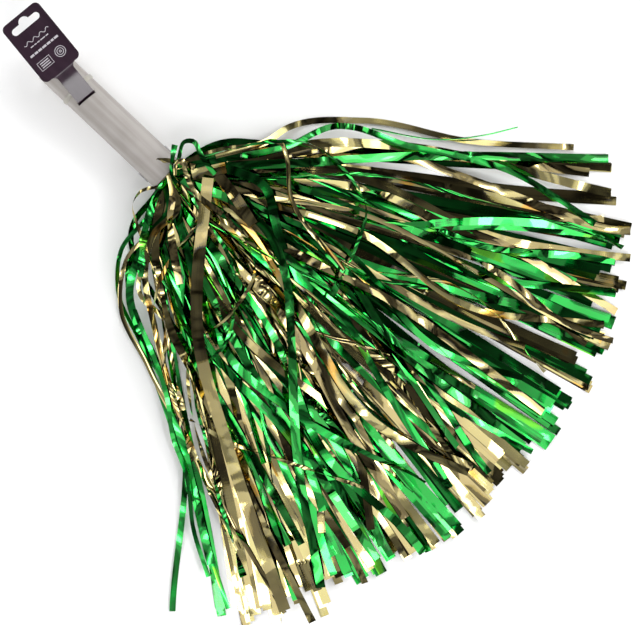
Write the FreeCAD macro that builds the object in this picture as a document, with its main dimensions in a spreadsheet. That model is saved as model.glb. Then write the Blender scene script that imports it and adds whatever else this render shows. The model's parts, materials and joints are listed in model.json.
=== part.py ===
"""Stick-handled cheer pom pom with film streamers and a hang tag, lying on a flat surface.

The handle lies along X. The tag hangs over its -X end and the streamers fan out from its +X end, the mouth.
The object stands on z = 0, and the origin is below the middle of its box. Lengths are in millimetres.
"""
import FreeCAD, Part
import math
import os
import Sketcher

doc = FreeCAD.newDocument("cheer_pom_pom")
VECTOR = FreeCAD.Vector
UP = VECTOR(0, 0, 1)

DIMENSIONS = {
    # Place of the mouth's centre, which puts the middle of the whole box on the origin.
    "mouth_offset": -109.1,
    # Handle: a 1 1/4 inch tube, 5 1/2 inches long.
    "tube_radius": 16,
    "tube_wall": 2,
    "tube_length": 138,
    "rim_chamfer": 0.5,
    # Plug in the outer end.
    "plug_flange": 1.6,
    "plug_depth": 12,
    "plug_wall": 1.8,
    "plug_clearance": 0.05,
    # Clear ring round the tube. Distances along the handle are from the mouth.
    "band_distance": 108,
    "band_width": 5,
    "band_proud": 1.1,
    # Height of the tube's axis, with the ring lying on the surface.
    "axis_height": "=tube_radius + band_proud",
    # Slit for the tag, square to the tag, which leans sideways by the skew angle.
    "slit_distance": 97.3,
    "slit_length": 2.6,
    "slit_width": 18.5,
    "slit_behind_crease": 0.3,
    "tag_skew": 7.1,
    # Hang tag. Its underside starts at tag_gap above the tube and rises to tag_lift over the ring.
    "tag_thickness": 0.5,
    "tag_gap": 0.4,
    "tag_lift": 1.5,
    "tag_rise": 7.5,
    "neck_length": 29.8,
    "neck_width": 17.5,
    "neck_fillet": 4.5,
    "tag_width": 40,
    "tag_length": 61.5,
    "tag_corner": 5,
    # Wide hang hole with a round notch in the middle of its outer edge.
    "hang_hole_width": 29,
    "hang_hole_height": 6.5,
    "hang_notch_radius": 5.2,
    "hang_hole_edge": 10.3,
    # Tongue that dives through the slit and lies flat inside the tube.
    "tongue_slope": 78,
    "tongue_drop": 8.2,
    "tongue_length": 17,
    # Film roll wedged in the mouth.
    "core_radius": 9,
    "header_depth": 45,
    "green_header_radius": 11.4,
    "gold_header_radius": 13.75,
    "tape_radius": 13.95,
    "tape_width": 20,
    "tape_distance": 32,
    # Staples through the wall, one on each side.
    "staple_wire_radius": 0.5,
    "staple_crown": 10,
    "staple_leg": 8,
    "staple_distance": 14,
    # Gathered strips just outside the mouth.
    "throat_mouth_radius": 13.5,
    "throat_length": 45,
    "throat_half_width": 32,
    "throat_half_height": 21,
    "throat_clearance": 0.4,
    # Heap of strips, as heights at three distances from the mouth.
    "root_reach": 60,
    "crest_reach": 110,
    "middle_reach": 408,
    "inner_reach": 400,
    "outer_reach": 385,
    "root_height": 38,
    "crest_height": 42,
    "tip_height": 12,
    "lock_angle": 18,
    "lock_pitch": 18.75,
    "green_share": 0.5,
    # Middle of the heap: a mat that stays down, and the strips on it that lift.
    "mat_green_share": 0.22,
    "mat_share": 0.45,
    "lifted_green_share": 0.72,
    "lifted_lock_angle": 15.5,
    "lift_reach": 75,
    "lift_gap": 0.8,
    "step_gap": 1,
    "lift_angle": 50,
}

sheet = doc.addObject("Spreadsheet::Sheet", "dims")
for row, (alias, value) in enumerate(DIMENSIONS.items(), start=1):
    sheet.set(f"A{row}", alias)
    sheet.set(f"B{row}", str(value))
    sheet.setAlias(f"B{row}", alias)
doc.recompute()


def bind(thing, setting, formula):
    """Ties a property to a formula of the sheet's cells."""
    thing.setExpression(setting, formula)


def measure(formula):
    """The formula's present value as a plain number."""
    found = sheet.evalExpression(formula)
    return float(getattr(found, "Value", found))


def new_body(label, forward="0", upward="0", turn=None):
    """A body whose own origin is that far along X from the mouth and above the surface."""
    body = doc.addObject("PartDesign::Body", label)
    body.Label = label
    bind(body, "Placement.Base.x", f"dims.mouth_offset + {forward}")
    bind(body, "Placement.Base.z", upward)
    if turn is not None:
        body.Placement = FreeCAD.Placement(VECTOR(), FreeCAD.Rotation(UP, measure(turn)))
        bind(body, "Placement.Rotation.Angle", turn)
    return body


def origin_feature(body, role):
    return next(item for item in body.Origin.OriginFeatures if item.Role == role)


def new_sketch(body, name, plane):
    sketch = body.newObject("Sketcher::SketchObject", f"{body.Name}_{name}")
    sketch.AttachmentSupport = [(origin_feature(body, plane), "")]
    sketch.MapMode = "FlatFace"
    return sketch


def pin_point(sketch, geometry, end, across, along):
    """Holds one end of a piece of geometry at two formulas of the sheet."""
    for kind, formula in (("DistanceX", across), ("DistanceY", along)):
        index = sketch.addConstraint(Sketcher.Constraint(kind, geometry, end, measure(formula)))
        sketch.setExpression(f"Constraints[{index}]", formula)


def draw_outline(sketch, corners):
    """A closed outline of straight lines through corners that are given as pairs of formulas."""
    points = [VECTOR(measure(across), measure(along), 0) for across, along in corners]
    lines = [
        sketch.addGeometry(Part.LineSegment(start, end), False)
        for start, end in zip(points, points[1:] + points[:1])
    ]
    for line, following in zip(lines, lines[1:] + lines[:1]):
        sketch.addConstraint(Sketcher.Constraint("Coincident", line, 2, following, 1))
    for line, (across, along) in zip(lines, corners):
        pin_point(sketch, line, 1, across, along)


def draw_circle(sketch, radius, across="0", along="0"):
    centre = VECTOR(measure(across), measure(along), 0)
    circle = sketch.addGeometry(Part.Circle(centre, UP, measure(radius)), False)
    pin_point(sketch, circle, 3, across, along)
    index = sketch.addConstraint(Sketcher.Constraint("Radius", circle, measure(radius)))
    sketch.setExpression(f"Constraints[{index}]", radius)


def draw_slot(sketch, half_span, radius, across):
    """A slot along the sketch's second axis, with round ends, centred at across."""
    place = measure(across)
    span = measure(half_span)
    size = measure(radius)
    top = Part.ArcOfCircle(Part.Circle(VECTOR(place, span, 0), UP, size), 0, math.pi)
    bottom = Part.ArcOfCircle(Part.Circle(VECTOR(place, -span, 0), UP, size), math.pi, 2 * math.pi)
    left = Part.LineSegment(VECTOR(place - size, span, 0), VECTOR(place - size, -span, 0))
    right = Part.LineSegment(VECTOR(place + size, -span, 0), VECTOR(place + size, span, 0))
    top, left, bottom, right = [sketch.addGeometry(edge, False) for edge in (top, left, bottom, right)]
    for before, after in ((top, left), (left, bottom), (bottom, right), (right, top)):
        sketch.addConstraint(Sketcher.Constraint("Tangent", before, 2, after, 1))
    pin_point(sketch, top, 3, across, half_span)
    pin_point(sketch, bottom, 3, across, f"-({half_span})")
    index = sketch.addConstraint(Sketcher.Constraint("Radius", top, size))
    sketch.setExpression(f"Constraints[{index}]", radius)


def pad(body, sketch, length, backwards=False, both_ways=False):
    feature = body.newObject("PartDesign::Pad", f"{sketch.Name}_pad")
    feature.Profile = sketch
    feature.Reversed = backwards
    feature.Midplane = both_ways
    bind(feature, "Length", length)
    return feature


def pocket(body, sketch, length, backwards=False, both_ways=False):
    """Cuts the sketch out of the body, and stops if it took nothing away."""
    doc.recompute()
    before = body.Shape.Volume
    feature = body.newObject("PartDesign::Pocket", f"{sketch.Name}_pocket")
    feature.Profile = sketch
    feature.Reversed = backwards
    feature.Midplane = both_ways
    bind(feature, "Length", length)
    doc.recompute()
    if body.Shape.Volume > before - 1e-6:
        raise RuntimeError(f"{feature.Name} cuts nothing")
    return feature


def revolve(body, sketch, axis, angle=None):
    """Turns the sketch round one of the body's own axes, all the way or by an angle to both sides."""
    feature = body.newObject("PartDesign::Revolution", f"{sketch.Name}_turn")
    feature.Profile = sketch
    feature.ReferenceAxis = (origin_feature(body, axis), [""])
    feature.Angle = 360
    if angle is not None:
        feature.Midplane = True
        bind(feature, "Angle", angle)
    return feature


def dress_edges(body, kind, setting, size, wanted):
    """A fillet or chamfer on the edges of the body's present shape that the test wants."""
    doc.recompute()
    base = body.Tip
    names = [f"Edge{i}" for i, edge in enumerate(base.Shape.Edges, start=1) if wanted(edge)]
    if not names:
        raise RuntimeError(f"{body.Label}: no edge to dress")
    feature = body.newObject(kind, f"{base.Name}_dressed")
    feature.Base = (base, names)
    bind(feature, setting, size)
    doc.recompute()
    return feature


def make_sleeve(label, inner, outer, length, far_end):
    """A plain tube along X that ends far_end beyond the mouth and reaches back by length."""
    body = new_body(label, forward=far_end, upward="dims.axis_height")
    section = new_sketch(body, "section", "YZ_Plane")
    draw_circle(section, outer)
    draw_circle(section, inner)
    pad(body, section, length, backwards=True)
    return body


def make_handle_tube():
    body = make_sleeve(
        "handle_tube", "dims.tube_radius - dims.tube_wall", "dims.tube_radius", "dims.tube_length", "0"
    )
    slit = new_sketch(body, "slit", "XY_Plane")
    slit.AttachmentOffset = FreeCAD.Placement(VECTOR(), FreeCAD.Rotation(UP, -measure("dims.tag_skew")))
    bind(slit, "AttachmentOffset.Base.x", "-dims.slit_distance")
    bind(slit, "AttachmentOffset.Rotation.Angle", "-dims.tag_skew")
    slit_start = "-dims.slit_behind_crease"
    slit_end = "dims.slit_length - dims.slit_behind_crease"
    half_width = "dims.slit_width / 2"
    draw_outline(
        slit,
        [
            (slit_start, f"-{half_width}"),
            (slit_end, f"-{half_width}"),
            (slit_end, half_width),
            (slit_start, half_width),
        ],
    )
    pocket(body, slit, "dims.tube_radius + dims.tube_wall", backwards=True)
    legs = new_sketch(body, "leg_holes", "XZ_Plane")
    for side in ("-", "+"):
        draw_circle(
            legs, "dims.staple_wire_radius", f"-dims.staple_distance {side} dims.staple_crown / 2"
        )
    pocket(body, legs, "2 * (dims.tube_radius + dims.tube_wall)", both_ways=True)
    radius = measure("dims.tube_radius")

    def on_rim(edge):
        return isinstance(edge.Curve, Part.Circle) and abs(edge.Curve.Radius - radius) < 1e-3

    dress_edges(body, "PartDesign::Chamfer", "Size", "dims.rim_chamfer", on_rim)
    return body


def make_end_plug():
    body = new_body("end_plug", forward="-dims.tube_length", upward="dims.axis_height")
    stem_radius = "dims.tube_radius - dims.tube_wall - dims.plug_clearance"
    hollow_radius = f"{stem_radius} - dims.plug_wall"
    profile = new_sketch(body, "profile", "XZ_Plane")
    draw_outline(
        profile,
        [
            ("-dims.plug_flange", "0"),
            ("0", "0"),
            ("0", hollow_radius),
            ("dims.plug_depth", hollow_radius),
            ("dims.plug_depth", stem_radius),
            ("0", stem_radius),
            ("0", "dims.tube_radius"),
            ("-dims.plug_flange", "dims.tube_radius"),
        ],
    )
    revolve(body, profile, "X_Axis")
    outer_end = measure("-dims.plug_flange")

    def on_outer_face(edge):
        place = edge.BoundBox
        return place.XLength < 1e-6 and abs(place.XMin - outer_end) < 1e-6

    dress_edges(body, "PartDesign::Fillet", "Radius", "dims.plug_flange / 2", on_outer_face)
    return body


def make_elastic_band():
    """A ring whose outside is one arc, standing proud in the middle."""
    body = new_body("elastic_band", forward="-dims.band_distance", upward="dims.axis_height")
    profile = new_sketch(body, "profile", "XZ_Plane")
    half_width = measure("dims.band_width / 2")
    low = measure("dims.tube_radius")
    high = measure("dims.tube_radius + dims.band_proud")
    crown = profile.addGeometry(
        Part.Arc(VECTOR(half_width, low, 0), VECTOR(0, high, 0), VECTOR(-half_width, low, 0)), False
    )
    chord = Part.LineSegment(VECTOR(-half_width, low, 0), VECTOR(half_width, low, 0))
    seat = profile.addGeometry(chord, False)
    profile.addConstraint(Sketcher.Constraint("Coincident", crown, 2, seat, 1))
    profile.addConstraint(Sketcher.Constraint("Coincident", seat, 2, crown, 1))
    pin_point(profile, seat, 1, "-dims.band_width / 2", "dims.tube_radius")
    pin_point(profile, seat, 2, "dims.band_width / 2", "dims.tube_radius")
    # Radius of the arc over a chord of band_width with a rise of band_proud.
    crown_radius = "(dims.band_width ^ 2 / 4 + dims.band_proud ^ 2) / (2 * dims.band_proud)"
    index = profile.addConstraint(Sketcher.Constraint("Radius", crown, measure(crown_radius)))
    profile.setExpression(f"Constraints[{index}]", crown_radius)
    revolve(body, profile, "X_Axis")
    return body


def tag_body(label):
    """A body in the tag's own frame: the crease at its origin, the tag towards +X, z from the tube's top."""
    tube_top = "dims.axis_height + dims.tube_radius"
    return new_body(label, forward="-dims.slit_distance", upward=tube_top, turn="180 - dims.tag_skew")


def make_hang_tag():
    body = tag_body("hang_tag")
    reach = "(dims.neck_length + dims.tag_length)"
    cut_depth = "2 * (dims.tag_lift + 2 * dims.tag_thickness)"
    side = new_sketch(body, "side", "XZ_Plane")
    draw_outline(
        side,
        [
            ("0", "dims.tag_gap"),
            ("dims.tag_rise", "dims.tag_lift"),
            (reach, "dims.tag_lift"),
            (reach, "dims.tag_lift + dims.tag_thickness"),
            ("dims.tag_rise", "dims.tag_lift + dims.tag_thickness"),
            ("0", "dims.tag_gap + dims.tag_thickness"),
        ],
    )
    pad(body, side, "dims.tag_width", both_ways=True)
    beside_neck = new_sketch(body, "beside_neck", "XY_Plane")
    for sign in ("", "-"):
        inner = f"{sign}(dims.neck_width / 2)"
        outer = f"{sign}(dims.tag_width / 2 + dims.tag_thickness)"
        draw_outline(
            beside_neck,
            [
                ("-dims.tag_thickness", inner),
                ("dims.neck_length", inner),
                ("dims.neck_length", outer),
                ("-dims.tag_thickness", outer),
            ],
        )
    pocket(body, beside_neck, cut_depth, both_ways=True)
    hole_place = f"{reach} - dims.hang_hole_edge"
    hole = new_sketch(body, "hang_hole", "XY_Plane")
    half_height = "dims.hang_hole_height / 2"
    draw_slot(hole, f"dims.hang_hole_width / 2 - {half_height}", half_height, hole_place)
    pocket(body, hole, cut_depth, both_ways=True)
    notch = new_sketch(body, "hang_notch", "XY_Plane")
    draw_circle(
        notch, "dims.hang_notch_radius", f"{hole_place} + dims.hang_notch_radius - {half_height}"
    )
    pocket(body, notch, cut_depth, both_ways=True)
    neck_end = measure("dims.neck_length")
    tag_end = measure(reach)
    half_neck = measure("dims.neck_width / 2")
    half_tag = measure("dims.tag_width / 2")

    def upright_at(edge, forward, sideways):
        place = edge.BoundBox
        near = abs(place.XMin - forward) < 1e-3 and abs(abs(place.YMin) - sideways) < 1e-3
        return near and place.XLength < 1e-3 and place.YLength < 1e-3

    dress_edges(
        body, "PartDesign::Fillet", "Radius", "dims.neck_fillet",
        lambda edge: upright_at(edge, neck_end, half_neck),
    )
    dress_edges(
        body, "PartDesign::Fillet", "Radius", "dims.tag_corner",
        lambda edge: upright_at(edge, neck_end, half_tag) or upright_at(edge, tag_end, half_tag),
    )
    return body


def make_tag_tongue():
    """A strip of even thickness that turns down at the crease and turns level again inside the tube."""
    body = tag_body("tag_tongue")
    mitre = "dims.tag_thickness * tan(dims.tongue_slope / 2)"
    turn_level = "-(dims.tag_gap + dims.tongue_drop) / tan(dims.tongue_slope)"
    top = "dims.tag_gap + dims.tag_thickness"
    side = new_sketch(body, "side", "XZ_Plane")
    draw_outline(
        side,
        [
            ("0", "dims.tag_gap"),
            ("0", top),
            (f"-{mitre}", top),
            (f"{turn_level} - {mitre}", "dims.tag_thickness - dims.tongue_drop"),
            ("-dims.tongue_length", "dims.tag_thickness - dims.tongue_drop"),
            ("-dims.tongue_length", "-dims.tongue_drop"),
            (turn_level, "-dims.tongue_drop"),
        ],
    )
    pad(body, side, "dims.neck_width", both_ways=True)
    return body


def lay_along_x(primitive, forward):
    """Turns a Part primitive's own Z axis to X and puts its start on the handle's axis."""
    primitive.Placement = FreeCAD.Placement(VECTOR(), FreeCAD.Rotation(VECTOR(0, 1, 0), 90))
    bind(primitive, "Placement.Base.x", f"dims.mouth_offset + {forward}")
    bind(primitive, "Placement.Base.z", "dims.axis_height")


def make_core_dowel():
    core = doc.addObject("Part::Cylinder", "core_dowel")
    core.Label = "core_dowel"
    bind(core, "Radius", "dims.core_radius")
    bind(core, "Height", "dims.header_depth")
    lay_along_x(core, "-dims.header_depth")
    return core


def make_wall_staples():
    """Two staples, each a crown along the tube and two legs through its wall into the core."""
    outside = "dims.tube_radius + dims.staple_wire_radius"
    crown = doc.addObject("Part::Cylinder", "staple_crown")
    bind(crown, "Radius", "dims.staple_wire_radius")
    bind(crown, "Height", "dims.staple_crown + 2 * dims.staple_wire_radius")
    lay_along_x(crown, "-dims.staple_distance - dims.staple_crown / 2 - dims.staple_wire_radius")
    bind(crown, "Placement.Base.y", f"-({outside})")
    rods = [crown]
    for end in ("-", "+"):
        leg = doc.addObject("Part::Cylinder", "staple_leg")
        bind(leg, "Radius", "dims.staple_wire_radius")
        bind(leg, "Height", "dims.staple_leg")
        leg.Placement = FreeCAD.Placement(VECTOR(), FreeCAD.Rotation(VECTOR(1, 0, 0), -90))
        bind(leg, "Placement.Base.x", f"dims.mouth_offset - dims.staple_distance {end} dims.staple_crown / 2")
        bind(leg, "Placement.Base.y", f"-({outside})")
        bind(leg, "Placement.Base.z", "dims.axis_height")
        rods.append(leg)
    staple = doc.addObject("Part::MultiFuse", "right_staple")
    staple.Shapes = rods
    mirrored = doc.addObject("Part::Mirroring", "left_staple")
    mirrored.Source = staple
    mirrored.Normal = VECTOR(0, 1, 0)
    group = doc.addObject("Part::Compound", "wall_staples")
    group.Label = "wall_staples"
    group.Links = [staple, mirrored]
    return group


def make_throat():
    """The strips where they are still gathered: round at the mouth, then wide and flat."""
    mouth = doc.addObject("Part::Circle", "throat_mouth")
    bind(mouth, "Radius", "dims.throat_mouth_radius")
    flare = doc.addObject("Part::Ellipse", "throat_flare")
    bind(flare, "MajorRadius", "dims.throat_half_width")
    bind(flare, "MinorRadius", "dims.throat_half_height")
    for section, forward, upward in (
        (mouth, "0", "dims.axis_height"),
        (flare, "dims.throat_length", "dims.throat_half_height + dims.throat_clearance"),
    ):
        # Turned so that the section faces X and its first radius lies along Y.
        section.Placement = FreeCAD.Placement(VECTOR(), FreeCAD.Rotation(VECTOR(1, 1, 1), 120))
        bind(section, "Placement.Base.x", f"dims.mouth_offset + {forward}")
        bind(section, "Placement.Base.z", upward)
    throat = doc.addObject("Part::Loft", "streamer_throat")
    throat.Label = "streamer_throat"
    throat.Sections = [mouth, flare]
    throat.Solid = True
    return throat


def heap_points(share, tip_reach):
    """Root, crest and tip of the surface at that share of the heap's height."""
    return [
        ("dims.root_reach", f"dims.root_height * {share}"),
        ("dims.crest_reach", f"dims.crest_height * {share}"),
        (tip_reach, f"dims.tip_height * {share}"),
    ]


def make_wedge(label, corners, direction="0", angle="dims.lock_angle"):
    """A wedge of the fan: an outline of distance and height, turned round the mouth's upright axis."""
    body = new_body(label, turn=direction)
    profile = new_sketch(body, "profile", "XZ_Plane")
    draw_outline(profile, corners)
    revolve(body, profile, "Z_Axis", angle)
    return body


def make_side_lock(label, steps, tip_reach):
    """A lock that lies on the surface, green film below and gold film above."""
    direction = f"{steps} * dims.lock_pitch"
    middle = heap_points("dims.green_share", tip_reach)
    green = [("dims.root_reach", "0"), (tip_reach, "0")] + middle[::-1]
    gold = middle + heap_points("1", tip_reach)[::-1]
    return [
        make_wedge(f"{label}_lock_green", green, direction),
        make_wedge(f"{label}_lock_gold", gold, direction),
    ]


def mat_height(reach):
    """Height of the mat's top between the root and the crest."""
    rise = "(dims.crest_height - dims.root_height) / (dims.crest_reach - dims.root_reach)"
    return f"dims.mat_share * (dims.root_height + {rise} * ({reach} - dims.root_reach))"


def make_middle_mat():
    """The middle strips that stay on the surface, at full height only behind the strips that lift."""
    tip_reach = "dims.middle_reach"
    lower = heap_points("dims.mat_green_share", tip_reach)
    upper = heap_points("dims.mat_share", tip_reach)
    green = [("dims.root_reach", "0"), (tip_reach, "0")] + lower[::-1]
    step_reach = "(dims.lift_reach - dims.step_gap)"
    step = [
        (step_reach, mat_height(step_reach)),
        (step_reach, "dims.root_height"),
        ("dims.root_reach", "dims.root_height"),
    ]
    gold = lower + upper[:0:-1] + step
    return [make_wedge("middle_mat_green", green), make_wedge("middle_mat_gold", gold)]


def make_lifting_lock():
    """The middle strips on the mat. Their inner face leans back, so that it clears the mat when they lift."""
    tip_reach = "dims.middle_reach"
    floor_height = f"{mat_height('dims.lift_reach')} + dims.lift_gap"
    mat_top = heap_points("dims.mat_share", tip_reach)
    floor = [(reach, f"{height} + dims.lift_gap") for reach, height in mat_top]

    def lean(height):
        return f"dims.lift_reach + ({height} - ({floor_height})) * tan(dims.lift_angle)"

    split_height = "dims.lifted_green_share * dims.root_height"
    split = [(lean(split_height), split_height)] + heap_points("dims.lifted_green_share", tip_reach)[1:]
    top = [(lean("dims.root_height"), "dims.root_height")] + heap_points("1", tip_reach)[1:]
    green = [("dims.lift_reach", floor_height)] + floor[1:] + split[::-1]
    gold = split + top[::-1]
    return [
        make_wedge("middle_lock_green", green, angle="dims.lifted_lock_angle"),
        make_wedge("middle_lock_gold", gold, angle="dims.lifted_lock_angle"),
    ]


parts = [
    make_handle_tube(),
    make_end_plug(),
    make_elastic_band(),
    make_hang_tag(),
    make_tag_tongue(),
    make_core_dowel(),
    make_sleeve(
        "green_header", "dims.core_radius", "dims.green_header_radius", "dims.header_depth", "0"
    ),
    make_sleeve(
        "gold_header", "dims.green_header_radius", "dims.gold_header_radius", "dims.header_depth", "0"
    ),
    make_sleeve(
        "header_tape", "dims.gold_header_radius", "dims.tape_radius", "dims.tape_width",
        "dims.tape_width / 2 - dims.tape_distance",
    ),
    make_wall_staples(),
    make_throat(),
]
parts += make_middle_mat()
parts += make_lifting_lock()
for side_name, side_sign in (("left", 1), ("right", -1)):
    parts += make_side_lock(f"{side_name}_inner", side_sign, "dims.inner_reach")
    parts += make_side_lock(f"{side_name}_outer", 2 * side_sign, "dims.outer_reach")

doc.recompute()
for thing in doc.Objects:
    if "Invalid" in thing.State or "Error" in thing.State:
        raise RuntimeError(f"{thing.Name} failed: {thing.State}")
for part in parts:
    if part.Shape.isNull() or not part.Shape.isValid() or part.Shape.Volume <= 0:
        raise RuntimeError(f"{part.Label} has no valid shape")

os.makedirs("parts", exist_ok=True)
for part in parts:
    part.Shape.exportStep(f"parts/{part.Label}.step")
    size = part.Shape.BoundBox
    print(
        f"{part.Label}: {len(part.Shape.Solids)} solid, {part.Shape.Volume:.0f} mm3, "
        f"x {size.XMin:.1f} to {size.XMax:.1f}, y {size.YMin:.1f} to {size.YMax:.1f}, "
        f"z {size.ZMin:.1f} to {size.ZMax:.1f}"
    )
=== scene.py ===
"""Looks of the cheer pom pom: every film strip as its own ribbon, the hang tag, materials, lights and camera.

Lengths are in metres and angles in radians. Strip paths are laid out in the mouth's frame. Its origin is on
the surface under the tube's mouth, with +X out of the mouth, +Y to the left and +Z up.
"""
import json
import math
import bmesh
import bpy
import numpy as np
from mathutils import Matrix, Vector


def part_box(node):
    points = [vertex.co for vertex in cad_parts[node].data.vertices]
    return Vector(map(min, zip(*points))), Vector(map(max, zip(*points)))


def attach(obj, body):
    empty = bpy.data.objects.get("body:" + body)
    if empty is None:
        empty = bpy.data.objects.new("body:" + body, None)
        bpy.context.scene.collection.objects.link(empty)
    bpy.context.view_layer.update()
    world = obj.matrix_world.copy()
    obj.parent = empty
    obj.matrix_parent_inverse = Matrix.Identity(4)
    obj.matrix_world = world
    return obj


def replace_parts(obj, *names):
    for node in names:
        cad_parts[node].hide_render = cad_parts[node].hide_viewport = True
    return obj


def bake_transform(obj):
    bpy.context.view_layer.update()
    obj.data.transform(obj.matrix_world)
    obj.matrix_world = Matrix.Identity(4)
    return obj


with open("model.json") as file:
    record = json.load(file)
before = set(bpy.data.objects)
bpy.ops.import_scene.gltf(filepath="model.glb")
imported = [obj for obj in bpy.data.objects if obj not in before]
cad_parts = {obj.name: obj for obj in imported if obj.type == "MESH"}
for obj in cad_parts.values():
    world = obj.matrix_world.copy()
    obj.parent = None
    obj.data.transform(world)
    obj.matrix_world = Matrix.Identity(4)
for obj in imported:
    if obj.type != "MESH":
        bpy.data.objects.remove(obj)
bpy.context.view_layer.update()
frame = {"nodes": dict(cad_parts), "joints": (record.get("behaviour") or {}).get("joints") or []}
SCENE = bpy.context.scene
MM = 0.001

# Places that the frame gives.
TUBE_LOW, TUBE_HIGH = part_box("handle_tube")
TAG_LOW, TAG_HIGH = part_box("hang_tag")
TUBE_RADIUS = (TUBE_HIGH.z - TUBE_LOW.z) / 2
AXIS_HEIGHT = (TUBE_HIGH.z + TUBE_LOW.z) / 2
MOUTH_X = TUBE_HIGH.x
JOINTS = {joint["name"]: joint for joint in frame["joints"]}
CREASE = Vector(JOINTS["tag_flex"]["pos_m"])
CREASE_AXIS = Vector(JOINTS["tag_flex"]["axis"])

# The fan: five locks side by side, from the rightmost to the leftmost, and the mat under the middle one.
LOCK_PITCH = math.radians(18.75)
LOCKS = ("right_outer_lock", "right_inner_lock", "middle_lock", "left_inner_lock", "left_outer_lock")
MAT_SHARE = 0.45
COLOURS = ("green", "gold")

# The strips.
STRIP_WIDTH = 7.8 * MM
STRIP_LENGTH = 416 * MM
STEP = 2.5 * MM
FILM_GAP = 0.12 * MM
BUNDLE_RADIUS = 12 * MM
# Share of its width that a pleated strip shows in the mouth.
ROOT_WIDTH = 0.6

# Directions of the stacks in the two outer locks, in degrees.
OUTER_STACKS = (
    -39.5, -37.6, -35.8, -34, -32.3, -30.8, -29.3,
    46, 45.2, 40.9, 37, 36, 34.6, 32.6, 31, 29.3,
)

# Loose strips that lie on top of the heap: kind, colour, share of the full width, and route to the tip, in
# millimetres in the mouth's frame. A cord is twisted thin. A taut strip lies straight over the others.
# The last three meet in a fold near the mouth.
LOOSE_STRIPS = (
    ("strip", "gold", 1.0, [(2, 6), (16, 18), (30, 40), (75, 100), (165, 180), (266, 256)]),
    ("strip", "gold", 0.9, [(20, 16), (35, 27), (60, 20), (100, 22), (220, 55), (380, 75)]),
    ("strip", "gold", 1.0, [(4, 8), (25, 35), (45, 63), (75, 108), (120, 150), (292, 256)]),
    ("strip", "green", 1.0, [(3, 4), (20, 26), (36, 44), (80, 90), (130, 145), (270, 277)]),
    ("strip", "gold", 0.7, [(0, 10), (18, 45), (42, 80), (46, 100), (90, 152), (170, 203), (240, 262)]),
    ("strip", "green", 0.7, [(0, 9), (30, 48), (58, 88), (78, 133), (130, 160), (215, 208), (300, 226)]),
    ("strip", "gold", 0.5, [(20, 40), (38, 68), (46, 83), (53, 87), (61, 84), (90, 60), (170, 45)]),
    ("cord", "green", 0.6, [(10, 30), (45, 80), (70, 103), (110, 108), (145, 97), (162, 66), (176, 20)]),
    ("strip", "green", 1.0, [(8, 14), (40, 42), (70, 50), (94, 36), (118, 21)]),
    ("strip", "green", 1.0, [(12, 4), (70, 25), (110, 20), (140, 3), (170, -24), (250, -100), (345, -170)]),
    ("strip", "green", 0.5, [(5, -10), (12, -36), (15, -76), (35, -102), (85, -124), (300, -240)]),
    ("strip", "gold", 0.5, [(8, -8), (23, -42), (24, -78), (48, -112), (100, -133), (338, -208)]),
    ("strip", "green", 0.7, [(8, -6), (28, -44), (28, -75), (70, -114), (145, -142), (266, -276)]),
    ("strip", "gold", 0.6, [(6, -8), (35, -50), (39, -75), (52, -91), (88, -94), (110, -122), (150, -141)]),
    ("strip", "gold", 0.9, [(4, -6), (20, -34), (45, -62), (80, -88), (150, -115), (260, -160), (360, -196)]),
    ("strip", "green", 0.9, [(6, -9), (22, -20), (25, -45), (45, -95), (120, -132), (262, -222)]),
    ("strip", "green", 0.5, [(60, -105), (135, -143), (160, -163), (190, -178), (230, -210), (268, -231)]),
    ("strip", "gold", 0.7, [(4, -2), (26, -14), (27, -45), (45, -75), (85, -105), (160, -150), (270, -195)]),
    ("cord", "gold", 0.4, [(2, -12), (-7, -28), (-4, -40), (8, -48), (30, -58), (80, -90), (150, -140)]),
    ("cord", "gold", 0.4, [(20, 10), (47, -14), (52, -50), (70, -90), (125, -130), (190, -165)]),
    ("cord", "gold", 0.4, [(60, 10), (112, -8), (123, -50), (120, -95), (150, -130), (240, -180)]),
    ("cord", "green", 0.4, [(30, 0), (100, -22), (136, -68), (140, -110), (190, -150), (290, -210)]),
    ("cord", "gold", 0.4, [(310, -80), (245, -110), (203, -130), (160, -141)]),
    ("strip", "green", 0.15, [(100, 152), (150, 186), (176, 216), (192, 241)]),
    ("strip", "gold", 1.2, [(30, 30), (52, 27), (86, 19)]),
    ("taut", "gold", 1.3, [(33, 39), (24, 26), (15, 13)]),
    ("taut", "gold", 1.35, [(28, 22), (47, -3), (65, -27), (109, -77), (200, -135), (335, -205)]),
)

# Short loops that spring back over the tube's rim.
MOUTH_LOOPS = (
    ("gold", 0.8, [(4, 7), (-6, 5), (-15, 1), (-9, 8), (0, 14), (14, 21)]),
    ("green", 0.55, [(4, 6), (-2, 17), (-8, 31), (-3, 36), (8, 33), (18, 30), (32, 28)]),
    ("green", 0.7, [(12, 0), (4, 2), (-5, 12), (-13, 24)]),
    ("gold", 0.6, [(6, 4), (0, 12), (1, 18), (9, 13), (25, 6), (60, 8)]),
    ("green", 0.9, [(3, -5), (4, -14), (10, -30), (22, -52), (45, -80)]),
    ("gold", 0.9, [(2, 0), (14, -8), (30, -28), (44, -40), (75, -62)]),
)


# ---------------------------------------------------------------- random shapes along a strip


def smooth_noise(rng, along, wavelength):
    """Smooth values from -1 to 1 that change over that wavelength."""
    knots = rng.uniform(-1, 1, int(along[-1] / wavelength) + 3)
    place = along / wavelength
    index = place.astype(int)
    share = place - index
    share = share * share * (3 - 2 * share)
    return knots[index] * (1 - share) + knots[index + 1] * share


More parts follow.
